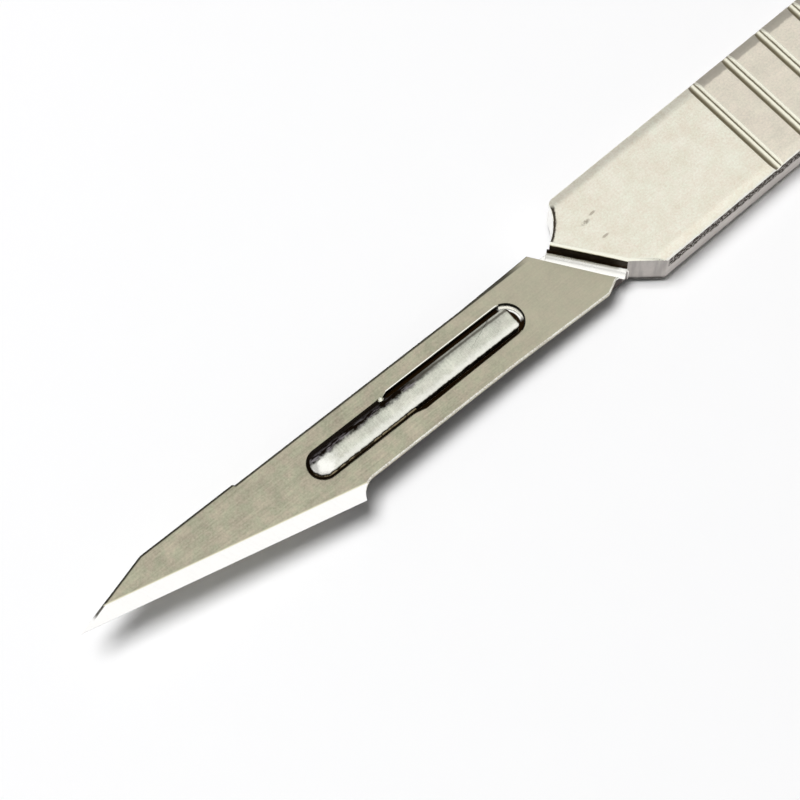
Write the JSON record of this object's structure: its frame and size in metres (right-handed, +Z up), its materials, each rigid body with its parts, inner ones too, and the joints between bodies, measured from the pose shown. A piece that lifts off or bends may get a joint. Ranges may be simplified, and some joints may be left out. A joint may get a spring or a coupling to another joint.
{
  "type": "disposable scalpel",
  "caption": "Flat metal scalpel handle with cross grooves and a thin pointed blade with a straight ground edge, seated on a slotted stud in front of a slanted step.",
  "frame": {"origin": "under the middle of the whole scalpel, on the plane it lies on", "axes": "+X along the handle to the blade's tip, +Y to the side of the cutting edge, +Z up off the face that carries the blade"},
  "size_m": [0.141, 0.008, 0.0027],
  "materials": {
    "handle_metal": "satin, lightly brushed, warm light grey",
    "blade_steel": "fine ground grain with a brighter ground edge"
  },
  "bodies": {
    "root": {"handle": "handle_metal", "blade": "blade_steel"}
  },
  "joints": []
}
